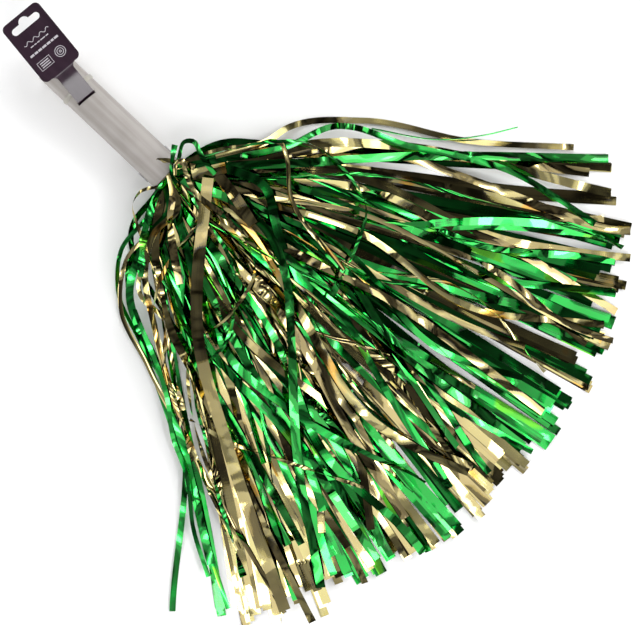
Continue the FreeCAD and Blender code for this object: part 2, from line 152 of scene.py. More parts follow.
def facets(rng, along, mean_length, spread):
    """Steady values with quick changes between them, as creased film has."""
    shortest = 8 * MM
    crease = 2.5 * MM
    count = int(along[-1] / shortest) + 2
    ends = np.cumsum(shortest + rng.exponential(mean_length - shortest, count))
    levels = rng.normal(0, spread, count + 1)
    places = np.stack([ends, ends + crease], axis=1).ravel()
    values = np.stack([levels[:-1], levels[1:]], axis=1).ravel()
    return np.interp(along, places, values)


def ease(value, start, end):
    """0 before start, 1 after end, smooth between."""
    share = np.clip((value - start) / (end - start), 0, 1)
    return share * share * (3 - 2 * share)


# ---------------------------------------------------------------- the heap that strips settle on


class Heap:
    """Height of what already lies on the surface, on a square grid in the mouth's frame."""

    CELL = 2 * MM
    LOW = np.array([-0.06, -0.32])
    SIZE = (260, 320)
    # Nearer to the mouth than this the strips are gathered, and don't lie on each other.
    GATHERED = 45 * MM

    def __init__(self):
        self.height = np.zeros(self.SIZE)

    def cells(self, plan, side, half_width):
        across = np.linspace(-1, 1, 5)[None, :, None] * half_width[:, None, None]
        points = plan[:, None, :] + across * side[:, None, :]
        index = ((points - self.LOW) / self.CELL).astype(int)
        index = np.clip(index, 0, np.array(self.SIZE) - 1)
        return index[..., 0], index[..., 1]

    def under(self, plan, side, half_width):
        rows, columns = self.cells(plan, side, half_width)
        return self.height[rows, columns].max(axis=1)

    def add(self, plan, side, half_width, top):
        rows, columns = self.cells(plan, side, half_width)
        for column in range(rows.shape[1]):
            np.maximum.at(self.height, (rows[:, column], columns[:, column]), top)

    def measure_again(self, strips):
        """Takes the real heights of the strips, and of the tube behind the mouth."""
        self.height[:] = 0
        for strip in strips:
            side = strip.halves[:, :2] / np.linalg.norm(strip.halves, axis=1)[:, None]
            top = strip.centres[:, 2] + np.abs(strip.halves[:, 2])
            self.add(strip.centres[:, :2], side, np.linalg.norm(strip.halves, axis=1), top)
        x = self.LOW[0] + (np.arange(self.SIZE[0]) + 0.5) * self.CELL
        y = self.LOW[1] + (np.arange(self.SIZE[1]) + 0.5) * self.CELL
        tube_top = AXIS_HEIGHT + np.sqrt(np.maximum(TUBE_RADIUS**2 - y**2, 0))
        tube_top[np.abs(y) > TUBE_RADIUS] = 0
        self.height[x < 0] = np.maximum(self.height[x < 0], tube_top)


def spread_peaks(values, reach):
    """Each value becomes the highest within reach samples on both sides."""
    padded = np.pad(values, reach, mode="edge")
    return np.max([padded[i:i + len(values)] for i in range(2 * reach + 1)], axis=0)


def average(values, reach):
    padded = np.pad(values, reach, mode="edge")
    window = np.hanning(2 * reach + 3)[1:-1]
    return np.convolve(padded, window / window.sum(), mode="valid")


HEAP = Heap()


class Strip:
    """One ribbon: its centre line, and the vector from the centre to its left edge along its length."""

    def __init__(self, centres, roll, width, tone, crown):
        forward = np.gradient(centres, axis=0)
        forward /= np.linalg.norm(forward, axis=1)[:, None]
        level = np.cross([0, 0, 1], forward)
        level /= np.linalg.norm(level, axis=1)[:, None]
        upward = np.cross(forward, level)
        distance = np.hypot(centres[:, 0], centres[:, 1])
        pinch = ROOT_WIDTH + (1 - ROOT_WIDTH) * ease(distance, 0, 30 * MM)
        half = STRIP_WIDTH / 2 * width * pinch
        self.centres = centres
        self.halves = half[:, None] * (level * np.cos(roll)[:, None] + upward * np.sin(roll)[:, None])
        self.normals = np.cross(forward, self.halves) / half[:, None]
        self.along = np.concatenate([[0], np.cumsum(np.linalg.norm(np.diff(centres, axis=0), axis=1))])
        self.flat_width = STRIP_WIDTH * np.mean(width)
        self.tone = tone
        self.crown = crown


def sideways(plan):
    """Unit vectors to the left of a path."""
    forward = np.gradient(plan, axis=0)
    forward /= np.linalg.norm(forward, axis=1)[:, None]
    return np.stack([-forward[:, 1], forward[:, 0]], axis=1)


def settle(plan, roll, rank, rise, tone, width=1.0, crown=0.15 * MM):
    """Lays a strip on the heap. rank is 0 for the lowest strip in the mouth and 1 for the highest.

    A strip on edge sinks between its neighbours, so bedding is the share of its height that counts.
    """
    bedding = 0.3
    narrowest = 0.3
    side = sideways(plan)
    half = STRIP_WIDTH / 2 * width
    lean = bedding * half * np.abs(np.sin(roll))
    flat_half = half * np.maximum(np.abs(np.cos(roll)), narrowest)
    distance = np.hypot(plan[:, 0], plan[:, 1])
    gathered = distance < HEAP.GATHERED
    ground = HEAP.under(plan, side, flat_half)
    ground[gathered] = ground[np.argmin(gathered)]
    height = average(spread_peaks(ground + lean, 8) + FILM_GAP + 0.4 * rise, 8)
    mouth_height = AXIS_HEIGHT + BUNDLE_RADIUS * (2 * rank - 1)
    height = mouth_height + (height - mouth_height) * ease(distance, 2 * MM, 65 * MM)
    height = average(height, 3)
    free = ~gathered
    HEAP.add(plan[free], side[free], flat_half[free], (height + lean)[free])
    return Strip(np.column_stack([plan, height]), roll, width, tone, crown)


def lay_out(start, heading, step):
    """The points that a strip passes with that heading at each step."""
    steps = np.column_stack([np.cos(heading), np.sin(heading)]) * step
    return np.array(start) + np.vstack([[0, 0], np.cumsum(steps[:-1], axis=0)])


def longer(direction):
    """How much longer strips are between the middle and the left edge of the fan, as a factor."""
    extra = 0.035
    degrees = math.degrees(direction)
    return 1 + extra * (ease(degrees, 10, 20) - ease(degrees, 37, 42))


def aim(start, direction, wander, along, opening=0.5):
    """The path of a strip that has its tip in that direction from the mouth.

    opening is how much more than that the strip turns sideways as it leaves the mouth, as a share.
    """
    wander = wander * ease(along, 0, 35 * MM)
    turn = ease(along, -8 * MM, 5 * MM) * (1 + opening * (1 - ease(along, 18 * MM, 65 * MM)))
    step = STEP * longer(direction)
    goal = direction
    for _ in range(3):
        plan = lay_out(start, goal * turn + wander, step)
        goal += direction - math.atan2(plan[-1, 1], plan[-1, 0])
    return plan


def start_point(rng, direction):
    """Where in the mouth a strip with that direction starts."""
    return 0, BUNDLE_RADIUS * math.sin(1.3 * direction) + rng.normal(0, 2.5 * MM)


# ---------------------------------------------------------------- kinds of strips


def lay_stack(rng, direction, rank, count):
    """Strips of one layered cut: they lie on each other, drift apart slowly and end nearly together."""
    longest = np.arange(0, STRIP_LENGTH, STEP)
    start = start_point(rng, direction)
    wander = math.radians(4.5) * smooth_noise(rng, longest, 120 * MM)
    gathered = 1 - ease(longest, 10 * MM, 90 * MM)
    roll = math.radians(32) * gathered * smooth_noise(rng, longest, 35 * MM)
    roll = roll + facets(rng, longest, 70 * MM, math.radians(4))
    roll = roll + math.radians(4) * smooth_noise(rng, longest, 80 * MM)
    rise = 0.8 * MM * (1 + smooth_noise(rng, longest, 60 * MM))
    stack_length = STRIP_LENGTH * (rng.uniform(0.925, 0.985) - 0.03 * (direction / (2 * LOCK_PITCH)) ** 2)
    drift = math.radians(rng.uniform(0.12, 0.5))
    opening = rng.uniform(0.3, 0.95)
    strips = []
    for member in range(count):
        length = min(stack_length + rng.normal(0, 3.5 * MM), STRIP_LENGTH)
        steps = slice(0, int(length / STEP))
        along = longest[steps]
        lean = direction + (member - count / 2) * drift + rng.normal(0, math.radians(0.15))
        own_roll = roll[steps] + facets(rng, along, 80 * MM, math.radians(2))
        own_roll = own_roll + math.radians(18) * gathered[steps] * smooth_noise(rng, along, 25 * MM)
        plan = aim(start, lean, wander[steps], along, opening + rng.uniform(-0.1, 0.1))
        strips.append(settle(plan, own_roll, rank, rise[steps] * (member == 0), rng.uniform()))
    return strips


def lay_stray(rng, direction, rank, swing, limp):
    """A loose strip: it wanders across its neighbours. limp from 0 to 1 makes it twist more."""
    reach = rng.uniform(0.4, 0.7) if rng.uniform() < 0.2 else rng.uniform(0.8, 0.98)
    along = np.arange(0, STRIP_LENGTH * reach, STEP)
    wander = swing * smooth_noise(rng, along, 110 * MM)
    roll = math.radians(25 + 40 * limp) * smooth_noise(rng, along, 120 * MM)
    roll = roll + facets(rng, along, 80 * MM, math.radians(5))
    if rng.uniform() < 0.1 + 0.4 * limp:
        place = rng.uniform(50, 250) * MM
        roll = roll + math.pi * rng.choice([-1, 1]) * ease(along, place, place + 45 * MM)
    rise = 2.0 * MM * (1 + smooth_noise(rng, along, 75 * MM))
    plan = aim(start_point(rng, direction), direction, wander, along, rng.uniform(0, 1.2))
    width = rng.uniform(0.7, 1.0)
    return settle(plan, roll, rank, rise, rng.uniform(), width=width, crown=0.3 * MM)


def cord_shape(rng, along):
    """Roll and width of a strip that is twisted into a thin cord over most of its length."""
    turns = rng.uniform(1.0, 2.5) * rng.choice([-1, 1])
    roll = 2 * math.pi * turns * along / along[-1] + math.radians(40) * smooth_noise(rng, along, 80 * MM)
    width = 0.38 + 0.08 * smooth_noise(rng, along, 20 * MM)
    return roll, width + 0.5 * ease(along, along[-1] - 60 * MM, along[-1])


def lay_cord(rng, direction, rank, swing):
    along = np.arange(0, STRIP_LENGTH * rng.uniform(0.6, 0.95), STEP)
    wander = swing * smooth_noise(rng, along, 110 * MM)
    roll, width = cord_shape(rng, along)
    rise = 1.5 * MM * (1 + smooth_noise(rng, along, 75 * MM))
    plan = aim(start_point(rng, direction), direction, wander, along, rng.uniform(0, 1.2))
    return settle(plan, roll, rank, rise, rng.uniform(), width=width, crown=0.9 * MM)


# ---------------------------------------------------------------- which strips there are


def lock_of(direction):
    place = int(round(direction / LOCK_PITCH)) + 2
    return LOCKS[min(max(place, 0), 4)]


def stack_directions(rng):
    """Even in the three inner locks, and in clusters with gaps between them in the two outer ones."""
    directions = list(np.radians(OUTER_STACKS) + rng.normal(0, math.radians(0.3), len(OUTER_STACKS)))
    for place, count in ((-1, 14), (0, 14), (1, 12)):
        shares = (np.arange(count) + rng.uniform(0.1, 0.9, count)) / count - 0.5
        directions.extend((place + shares * 0.98) * LOCK_PITCH)
    return directions


def lay_base_fan(rng, strips):
    """The fan at the bottom, in stacks of one colour."""
    directions = stack_directions(rng)
    order = rng.permutation(len(directions))
    for turn, index in enumerate(order):
        direction = directions[index]
        # There is more green on the left side of the fan.
        gold_chance = 0.5 - 0.15 * ease(direction, math.radians(5), math.radians(20))
        colour = COLOURS[int(rng.uniform() < gold_chance)]
        lock = lock_of(direction)
        if lock == "middle_lock" and turn < MAT_SHARE * len(order):
            lock = "middle_mat"
        count = rng.integers(3, 6)
        if not math.radians(-36) < direction < math.radians(39):
            count = 2
        strips[lock, colour] += lay_stack(rng, direction, 0.6 * turn / len(order), count)


def lay_strays(rng, strips):
    """Loose strips and cords among the stacks, wilder towards the top of the heap."""
    count = 80
    gold_chance = 0.42
    strip_chance = 0.72
    for turn in range(count):
        height = turn / count
        direction = rng.uniform(-2, 2.1) * LOCK_PITCH
        colour = COLOURS[int(rng.uniform() < gold_chance)]
        rank = 0.6 + 0.4 * height
        if rng.uniform() < strip_chance:
            swing = math.radians(12 + 20 * height)
            strip = lay_stray(rng, direction, rank, swing, height)
        else:
            strip = lay_cord(rng, direction, rank, math.radians(30))
        strips[lock_of(direction), colour].append(strip)


def press_down(strips, heights):
    """Lowers the heap to these heights in millimetres: at the mouth, 60 and 120 mm from it, and at the tips.

    All the heights at one distance shrink alike, so no strip passes through another.
    """
    ring = 10 * MM
    ring_count = 48
    peaks = np.zeros(ring_count)
    for strip in strips:
        index = (np.hypot(strip.centres[:, 0], strip.centres[:, 1]) / ring).astype(int)
        np.maximum.at(peaks, index, strip.centres[:, 2] + np.abs(strip.halves[:, 2]))
    peaks = average(spread_peaks(peaks, 1), 2)
    distances = (np.arange(len(peaks)) + 0.5) * ring
    real = np.interp(distances, np.array([0, 60, 120, 400]) * MM, np.array(heights) * MM)
    shrink = np.minimum(1, real / peaks)
    for strip in strips:
        share = np.interp(np.hypot(strip.centres[:, 0], strip.centres[:, 1]), distances, shrink)
        strip.centres[:, 2] *= share
        strip.halves[:, 2] *= share
        strip.normals[:, 2] *= share
        strip.centres[:, 2] = np.maximum(strip.centres[:, 2], np.abs(strip.halves[:, 2]) + FILM_GAP)


# ---------------------------------------------------------------- loose strips with a route of their own


def smooth_route(points):
    """A smooth path through given points, in steps of STEP."""
    points = np.array(points) * MM
    gaps = np.linalg.norm(np.diff(points, axis=0), axis=1)
    places = np.concatenate([[0], np.cumsum(gaps)])
    slopes = np.gradient(points, places, axis=0)
    samples = 600
    fine = np.linspace(0, places[-1], samples)
    index = np.clip(np.searchsorted(places, fine, side="right") - 1, 0, len(gaps) - 1)
    gap = gaps[index][:, None]
    t = (fine - places[index])[:, None] / gap
    curve = (
        (2 * t**3 - 3 * t**2 + 1) * points[index]
        + (t**3 - 2 * t**2 + t) * gap * slopes[index]
        + (3 * t**2 - 2 * t**3) * points[index + 1]
        + (t**3 - t**2) * gap * slopes[index + 1]
    )
    length = np.concatenate([[0], np.cumsum(np.linalg.norm(np.diff(curve, axis=0), axis=1))])
    steps = np.arange(0, length[-1], STEP)
    return np.column_stack([np.interp(steps, length, curve[:, axis]) for axis in range(2)])


def drape(rng, points, kind, width):
    """Lays a loose strip on top of the whole heap, along a route of its own."""
    plan = smooth_route(points)
    along = np.arange(len(plan)) * STEP
    smoothing = 20 if kind == "taut" else 9
    if kind == "cord":
        roll, width = cord_shape(rng, along)
    elif kind == "loop":
        roll = math.radians(60) * smooth_noise(rng, along, 22 * MM)
    elif kind == "taut":
        lean = 9 * ease(along, 35 * MM, 90 * MM) - 19
        roll = np.radians(lean + 3 * smooth_noise(rng, along, 60 * MM))
    else:
        roll = facets(rng, along, 70 * MM, math.radians(6))
        roll = roll + math.radians(30) * smooth_noise(rng, along, 90 * MM)
    side = sideways(plan)
    half = STRIP_WIDTH / 2 * width * np.ones(len(plan))
    lean = half * np.abs(np.sin(roll))
    distance = np.hypot(plan[:, 0], plan[:, 1])
    arch = 32 * MM * (1 - ease(distance, 15 * MM, 75 * MM))
    ground = np.maximum(HEAP.under(plan, side, half), arch)
    rise = 1.5 * MM * (1 + smooth_noise(rng, along, 60 * MM))
    height = average(spread_peaks(ground + lean, smoothing) + FILM_GAP + 0.5 * rise, smoothing)
    HEAP.add(plan, side, half, height + lean)
    return Strip(np.column_stack([plan, height]), roll, width, rng.uniform(), 0.3 * MM)


def lay_loose_strips(rng, strips):
    for kind, colour, width, points in LOOSE_STRIPS:
        x, y = points[-1]
        strips[lock_of(math.atan2(y, x)), colour].append(drape(rng, points, kind, width))


def lay_mouth_loops(rng, strips):
    for colour, width, points in MOUTH_LOOPS:
        strips["streamer_throat", colour].append(drape(rng, points, "loop", width))


def make_fan():
    """All strips, from the lowest to the highest, as {(CAD group, colour): [strip, ...]}."""
    rng = np.random.default_rng(41)
    groups = LOCKS + ("middle_mat", "streamer_throat")
    strips = {(group, colour): [] for group in groups for colour in COLOURS}
    lay_base_fan(rng, strips)
    lay_strays(rng, strips)
    laid = [strip for group in strips.values() for strip in group]
    press_down(laid, (34, 40, 42, 17))
    HEAP.measure_again(laid)
    lay_loose_strips(rng, strips)
    lay_mouth_loops(rng, strips)
    press_down([strip for group in strips.values() for strip in group], (42, 45, 47, 22))
    return strips


def build_ribbons(name, strips):
    """One mesh of many ribbons, with a map of each ribbon's own length and width, and a tone for each."""
    points, faces, maps, tones = [], [], [], []
    for strip in strips:
        base = len(points)
        middle = strip.centres + strip.crown * (2 * strip.tone - 1) * strip.normals
        rows = np.stack([strip.centres + strip.halves, middle, strip.centres - strip.halves], axis=1)
        points.extend(rows.reshape(-1, 3))
        count = len(strip.centres)
        for row in range(count - 1):
            for column in range(2):
                first = base + 3 * row + column
                faces.append((first, first + 1, first + 4, first + 3))
                for step, across in ((0, 0), (0, 1), (1, 1), (1, 0)):
                    maps.append((strip.along[row + step], (column + across) * STRIP_WIDTH / 2))
        tones.extend([strip.tone] * (3 * count))
    points = np.array(points) + np.array([MOUTH_X, 0, 0])
    mesh = bpy.data.meshes.new(name)
    mesh.from_pydata(points.tolist(), [], faces)
    layer = mesh.uv_layers.new(name="strip_map")
    layer.data.foreach_set("uv", np.array(maps, np.float32).ravel())
    tone = mesh.attributes.new("tone", "FLOAT", "POINT")
    tone.data.foreach_set("value", np.array(tones, np.float32))
    mesh.shade_smooth()
    piece = bpy.data.objects.new(name, mesh)
    SCENE.collection.objects.link(piece)
    return piece


# The mat and the mouth loops stay with the handle. Distances from the mouth for a bend of each lock, along
# the lock's own direction; nothing in this script reads them, and the locks are not bent.
BEND = {lock: (15 * MM, 95 * MM) for lock in LOCKS}
BEND["middle_lock"] = (45 * MM, 130 * MM)


def join_to_bodies(piece, group):
    """Pieces outside the five locks go with the handle; a lock's piece is only baked into world space."""
    if group not in LOCKS:
        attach(piece, "handle")
        return
    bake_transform(piece)


def make_streamers():
    """One piece for each lock and colour, in place of its plain CAD solid."""
    for (group, colour), strips in make_fan().items():
        node = group if group == "streamer_throat" else f"{group}_{colour}"
        piece = build_ribbons(f"{group}_{colour}_strips", strips)
        piece.data.materials.append(FILMS[colour])
        join_to_bodies(piece, group)
        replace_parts(piece, node)


# ---------------------------------------------------------------- materials


class Nodes:
    """A short way to build the nodes of a material or of the world."""

    def __init__(self, owner, shader="Principled BSDF"):
        owner.use_nodes = True
        self.tree = owner.node_tree
        self.shader = self.tree.nodes[shader]

    def add(self, kind, inputs=None, **settings):
        node = self.tree.nodes.new(kind)
        for setting, value in settings.items():
            setattr(node, setting, value)
        for socket, value in (inputs or {}).items():
            self.put(value, node.inputs[socket])
        return node

    def put(self, value, socket):
        if isinstance(value, bpy.types.NodeSocket):
            self.tree.links.new(value, socket)
        else:
            socket.default_value = value

    def set(self, **values):
        for name, value in values.items():
            self.put(value, self.shader.inputs[name.replace("_", " ")])

    def ramp(self, factor, stops):
        node = self.add("ShaderNodeValToRGB", {"Fac": factor})
        elements = node.color_ramp.elements
        while len(elements) < len(stops):
            elements.new(0.5)
        for element, (place, colour) in zip(elements, stops):
            element.position = place
            element.color = (*colour, 1)
        return node.outputs["Color"]

    def math(self, operation, first, second):
        node = self.add("ShaderNodeMath", operation=operation)
        self.put(first, node.inputs[0])
        self.put(second, node.inputs[1])
        return node.outputs[0]

    def bump(self, height, distance, strength=1.0, under=None):
        node = self.add("ShaderNodeBump", {"Height": height, "Distance": distance, "Strength": strength})
        if under is not None:
            self.put(under, node.inputs["Normal"])
        return node.outputs["Normal"]


def film_material(name, deep, bright, glint, coat_ior):
    """Metallised film: a coloured mirror with fine cross lines, soft crumples and a clear gloss coat.

    glint is a warmer colour painted on a few patches: painted reflection of film seen in other film, amber on
    gold and yellow-green on green.
    """
    material = bpy.data.materials.new(name)
    nodes = Nodes(material)
    place = nodes.add("ShaderNodeUVMap", uv_map="strip_map").outputs["UV"]
    tone = nodes.add("ShaderNodeAttribute", attribute_name="tone").outputs["Fac"]
    shift = nodes.add("ShaderNodeCombineXYZ", {"X": 0.0, "Y": 0.0, "Z": nodes.math("MULTIPLY", tone, 70.0)})

    def texture(along, across, detail):
        scale = nodes.add("ShaderNodeVectorMath", {1: (along, across, 1)}, operation="MULTIPLY")
        nodes.put(place, scale.inputs[0])
        moved = nodes.add("ShaderNodeVectorMath", operation="ADD")
        nodes.put(scale.outputs[0], moved.inputs[0])
        nodes.put(shift.outputs[0], moved.inputs[1])
        noise = nodes.add("ShaderNodeTexNoise", {"Vector": moved.outputs[0], "Scale": 1.0, "Detail": detail})
        return noise.outputs["Fac"]

    cross_lines = texture(900, 25, 2.0)
    long_lines = texture(12, 900, 1.0)
    crumple = texture(42, 70, 0.0)
    patches = texture(28, 30, 1.0)
    crumpled = nodes.bump(crumple, 0.00030)
    lined = nodes.bump(long_lines, 0.000012, under=crumpled)
    nodes.set(Normal=nodes.bump(cross_lines, 0.000006, under=lined))
    # The colour runs from deep to bright in patches along each strip and with each strip's tone. This is
    # partly the film's own uneven tint and partly painted reflection of bright and dark surroundings. The
    # brightest patches take the glint colour, which is also a painted reflection.
    shade = nodes.math("ADD", nodes.math("MULTIPLY", patches, 0.7), nodes.math("MULTIPLY", tone, 0.3))
    nodes.set(Base_Color=nodes.ramp(shade, [(0.30, deep), (0.60, bright), (0.66, bright), (0.70, glint)]))
    nodes.set(Roughness=nodes.math("MULTIPLY", patches, 0.10))
    nodes.set(Metallic=1.0, Coat_Weight=1.0, Coat_Roughness=0.03, Coat_IOR=coat_ior)
    return material


def moulded_plastic(name, dark, light, roughness, coat=0.0, coat_ior=1.5):
    """Moulded or extruded plastic: faint clouds, fine lines, a satin skin, and bands along the handle that
    are partly the plastic's own streaks and partly painted sheen, lighter and darker like highlights along
    it.
    """
    material = bpy.data.materials.new(name)
    nodes = Nodes(material)
    place = nodes.add("ShaderNodeTexCoord").outputs["Object"]
    stretched = nodes.add("ShaderNodeVectorMath", {1: (30, 900, 900)}, operation="MULTIPLY")
    nodes.put(place, stretched.inputs[0])
    lines = nodes.add("ShaderNodeTexNoise", {"Vector": stretched.outputs[0], "Scale": 1.0, "Detail": 2.0})
    # Bands along the handle's length: partly the plastic's own streaky tone, partly painted sheen in place of
    # lengthwise highlights.
    tone_and_sheen_stretch = nodes.add("ShaderNodeVectorMath", {1: (5, 150, 150)}, operation="MULTIPLY")
    nodes.put(place, tone_and_sheen_stretch.inputs[0])
    tone_and_sheen_bands = nodes.add("ShaderNodeTexNoise", {"Vector": tone_and_sheen_stretch.outputs[0], "Scale": 1.0, "Detail": 2.0})
    clouds = nodes.add("ShaderNodeTexNoise", {"Vector": place, "Scale": 60.0, "Detail": 4.0})
    shade = nodes.math("MULTIPLY", tone_and_sheen_bands.outputs["Fac"], 0.75)
    shade = nodes.math("ADD", shade, nodes.math("MULTIPLY", clouds.outputs["Fac"], 0.25))
    nodes.set(Base_Color=nodes.ramp(shade, [(0.38, dark), (0.62, light)]))
    nodes.set(Normal=nodes.bump(lines.outputs["Fac"], 0.00001))
    spread = {"Value": clouds.outputs["Fac"], "To Min": roughness * 0.85, "To Max": roughness * 1.15}
    rough = nodes.add("ShaderNodeMapRange", spread)
    nodes.set(Roughness=rough.outputs["Result"])
    nodes.set(Coat_Weight=coat, Coat_Roughness=0.1, Coat_IOR=coat_ior)
    return material


def rolled_film(name, dark, light):
    """The uncut ends of the film, rolled up: many thin layers seen on edge."""
    material = bpy.data.materials.new(name)
    nodes = Nodes(material)
    place = nodes.add("ShaderNodeTexCoord").outputs["Object"]
    rings = nodes.add(
        "ShaderNodeTexWave", {"Vector": place, "Scale": 900.0, "Distortion": 2.0, "Detail": 2.0},
        wave_type="RINGS", rings_direction="X",
    )
    nodes.set(Base_Color=nodes.ramp(rings.outputs["Fac"], [(0.2, dark), (0.8, light)]))
    nodes.set(Normal=nodes.bump(rings.outputs["Fac"], 0.00005), Metallic=1.0, Roughness=0.25)
    return material


def print_ink():
    """Pale ink, a little uneven where it was stamped."""
    material = bpy.data.materials.new("print_ink")
    nodes = Nodes(material)
    place = nodes.add("ShaderNodeTexCoord").outputs["Object"]
    noise = nodes.add("ShaderNodeTexNoise", {"Vector": place, "Scale": 2500.0, "Detail": 3.0})
    speckle = noise.outputs["Fac"]
    nodes.set(Base_Color=nodes.ramp(speckle, [(0.3, (0.36, 0.34, 0.37)), (0.6, (0.55, 0.53, 0.56))]))
    nodes.set(Normal=nodes.bump(speckle, 0.00001), Roughness=0.5)
    return material


def wood_material():
    material = bpy.data.materials.new("core_wood")
    nodes = Nodes(material)
    place = nodes.add("ShaderNodeTexCoord").outputs["Object"]
    grain_place = nodes.add("ShaderNodeVectorMath", {1: (25, 400, 400)}, operation="MULTIPLY")
    nodes.put(place, grain_place.inputs[0])
    grain = nodes.add("ShaderNodeTexNoise", {"Vector": grain_place.outputs[0], "Scale": 1.0, "Detail": 5.0})
    stops = [(0.35, (0.42, 0.26, 0.13)), (0.65, (0.60, 0.43, 0.25))]
    nodes.set(Base_Color=nodes.ramp(grain.outputs["Fac"], stops))
    nodes.set(Normal=nodes.bump(grain.outputs["Fac"], 0.0001), Roughness=0.7)
    return material


GREEN_FILM = film_material("green_film", (0.0, 0.22, 0.015), (0.001, 0.37, 0.040), (0.09, 0.48, 0.009), 1.45)
GOLD_FILM = film_material("gold_film", (0.31, 0.235, 0.075), (0.43, 0.375, 0.125), (0.54, 0.30, 0.025), 1.7)
FILMS = {"green": GREEN_FILM, "gold": GOLD_FILM}
TAG_PLASTIC = moulded_plastic(
    "tag_plastic", (0.017, 0.005, 0.014), (0.028, 0.011, 0.023), 0.32, coat=1.0, coat_ior=1.7
)


def cover(node, material):
    """Gives a CAD node one material."""
    mesh = frame["nodes"][node].data
    mesh.materials.clear()
    mesh.materials.append(material)


def cover_cad_nodes():
    """Materials of every CAD node but the plain film solids, which the strips replace."""
    tube_plastic = moulded_plastic("tube_plastic", (0.29, 0.265, 0.245), (0.38, 0.355, 0.335), 0.38)
    plug_plastic = moulded_plastic("plug_plastic", (0.34, 0.31, 0.29), (0.40, 0.37, 0.35), 0.45)
    elastic = moulded_plastic("clear_elastic", (0.30, 0.285, 0.25), (0.37, 0.35, 0.30), 0.30, coat=0.2)
    tape = moulded_plastic("clear_tape", (0.66, 0.63, 0.52), (0.75, 0.72, 0.62), 0.15, coat=1.0)
    steel = moulded_plastic("staple_steel", (0.50, 0.50, 0.51), (0.62, 0.62, 0.64), 0.28)
    steel.node_tree.nodes["Principled BSDF"].inputs["Metallic"].default_value = 1.0
    for node, material in (
        ("handle_tube", tube_plastic),
        ("end_plug", plug_plastic),
        ("elastic_band", elastic),
        ("hang_tag", TAG_PLASTIC),
        ("tag_tongue", TAG_PLASTIC),
        ("core_dowel", wood_material()),
        ("green_header", rolled_film("green_header_film", (0.0, 0.10, 0.01), (0.001, 0.35, 0.04))),
        ("gold_header", rolled_film("gold_header_film", (0.22, 0.19, 0.05), (0.53, 0.47, 0.17))),
        ("header_tape", tape),
        ("wall_staples", steel),
    ):
        cover(node, material)


# ---------------------------------------------------------------- hang tag


class Tag:
    """Sizes of the tag in its own plane: x from the crease outwards, y to the left, z up from the crease."""

    NECK_LENGTH = 29.8 * MM
    NECK_WIDTH = 17.5 * MM
    NECK_FILLET = 4.5 * MM
    LENGTH = 61.5 * MM
    WIDTH = 40 * MM
    CORNER = 5 * MM
    THICKNESS = 0.5 * MM
    HOLE_WIDTH = 29 * MM
    HOLE_HEIGHT = 6.5 * MM
    HOLE_EDGE = 10.3 * MM
    NOTCH_RADIUS = 5.2 * MM
    END = NECK_LENGTH + LENGTH
    # Height of the underside over the crease: at the slit, at the neck's end and at the outer end.
    START_LIFT = -0.5 * MM
    NECK_LIFT = 4.0 * MM
    END_LIFT = 2.0 * MM


def arc(centre_x, centre_y, radius, start, end, steps=8):
    """Points on an arc between two angles in degrees."""
    angles = [math.radians(start + (end - start) * step / steps) for step in range(steps + 1)]
    return [(centre_x + radius * math.cos(angle), centre_y + radius * math.sin(angle)) for angle in angles]


def tag_outline():
    half_neck = Tag.NECK_WIDTH / 2
    half_tag = Tag.WIDTH / 2
    left = [(0, half_neck)]
    left += arc(Tag.NECK_LENGTH - Tag.NECK_FILLET, half_neck + Tag.NECK_FILLET, Tag.NECK_FILLET, -90, 0)
    left += arc(Tag.NECK_LENGTH + Tag.CORNER, half_tag - Tag.CORNER, Tag.CORNER, 180, 90)
    left += arc(Tag.END - Tag.CORNER, half_tag - Tag.CORNER, Tag.CORNER, 90, 0)
    return left + [(x, -y) for x, y in reversed(left)]


def hole_outline():
    """A wide slot with round ends and a round notch in the middle of its outer edge."""
    centre = Tag.END - Tag.HOLE_EDGE
    radius = Tag.HOLE_HEIGHT / 2
    span = Tag.HOLE_WIDTH / 2 - radius
    notch_offset = Tag.NOTCH_RADIUS - radius
    notch_edge = math.degrees(math.acos((radius - notch_offset) / Tag.NOTCH_RADIUS))
    outline = arc(centre, span, radius, 180, 0)
    outline += arc(centre + notch_offset, 0, Tag.NOTCH_RADIUS, notch_edge, -notch_edge, 14)
    return outline + arc(centre, -span, radius, 0, -180)


def tag_height(x):
    """Height of the tag's underside over the crease: steadily up along the neck, then slowly down again."""
    middle = Tag.NECK_LENGTH
    round_off = 6 * MM
    if x < middle:
        line = Tag.START_LIFT + (Tag.NECK_LIFT - Tag.START_LIFT) * x / middle
    else:
        line = Tag.NECK_LIFT + (Tag.END_LIFT - Tag.NECK_LIFT) * (x - middle) / Tag.LENGTH
    return line - 0.45 * MM * math.exp(-(((x - middle) / round_off) ** 2))


def to_world(mesh):
    """Moves a mesh from the tag's own plane to its place on the handle."""
    along = Vector((CREASE_AXIS.y, -CREASE_AXIS.x, 0)) * -1
    left = Vector((0, 0, 1)).cross(along)
    turn = Matrix((along, left, Vector((0, 0, 1)))).transposed().to_4x4()
    mesh.transform(Matrix.Translation(CREASE) @ turn)


def add_tag_piece(name, sheet, material):
    mesh = bpy.data.meshes.new(name)
    sheet.to_mesh(mesh)
    sheet.free()
    mesh.shade_smooth()
    mesh.set_sharp_from_angle(angle=math.radians(20))
    to_world(mesh)
    mesh.materials.append(material)
    piece = bpy.data.objects.new(name, mesh)
    SCENE.collection.objects.link(piece)
    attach(piece, "tag")
    return piece


